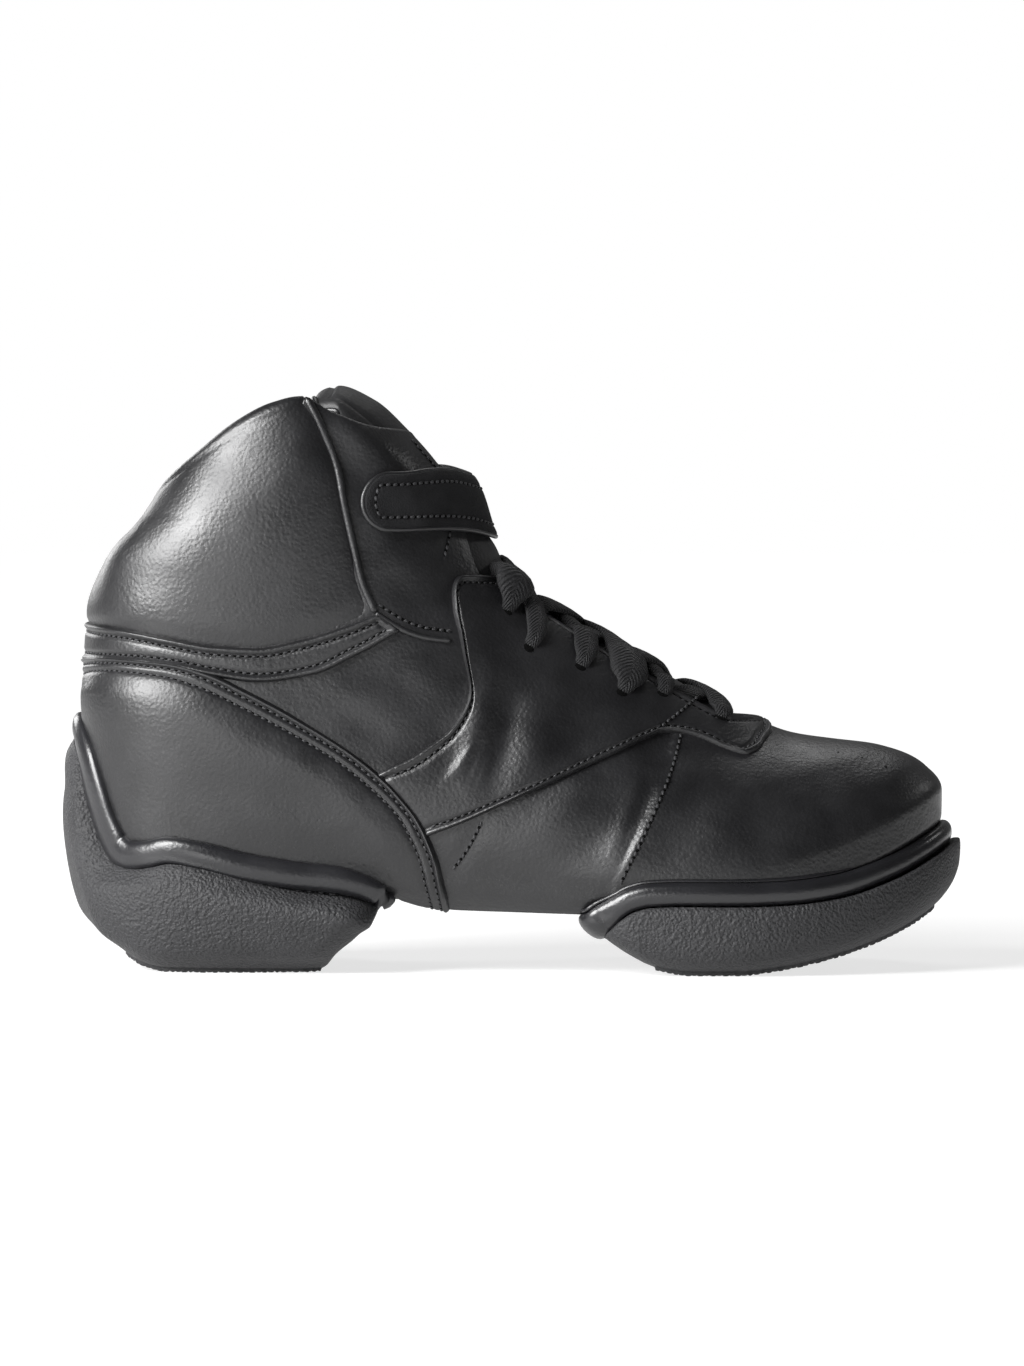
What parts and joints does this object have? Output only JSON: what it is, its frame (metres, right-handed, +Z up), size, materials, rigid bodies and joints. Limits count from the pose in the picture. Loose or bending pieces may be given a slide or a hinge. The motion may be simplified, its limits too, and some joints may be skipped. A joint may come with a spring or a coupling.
{
  "type": "dance shoe",
  "caption": "High-top leather dance sneaker for the right foot: split heel and forefoot soles with a bead, padded collar, laced throat and an ankle strap.",
  "frame": {"origin": "on the floor, below the middle of the shoe's length and width", "axes": "+X towards the toe, +Y towards the inner side of the foot, +Z up from the floor"},
  "size_m": [0.2692, 0.1049, 0.1742],
  "materials": {
    "leather": "soft black nappa with a satin sheen",
    "lining": "matte black textile",
    "strap_suede": "matte black napped strap",
    "lace_braid": "matte black braid",
    "grained_rubber": "matte dark rubber with a fine pebble grain",
    "glossy_rubber": "smooth satin black rubber bead"
  },
  "bodies": {
    "root": {"upper": "leather", "counter": "leather", "ankle_band": "leather", "facing": "leather", "tongue": "leather", "insole": "lining", "ankle_strap": "strap_suede", "lace": "lace_braid", "outsole_heel": "grained_rubber", "outsole_forefoot": "grained_rubber", "welt_heel": "glossy_rubber", "welt_forefoot": "glossy_rubber"}
  },
  "joints": []
}
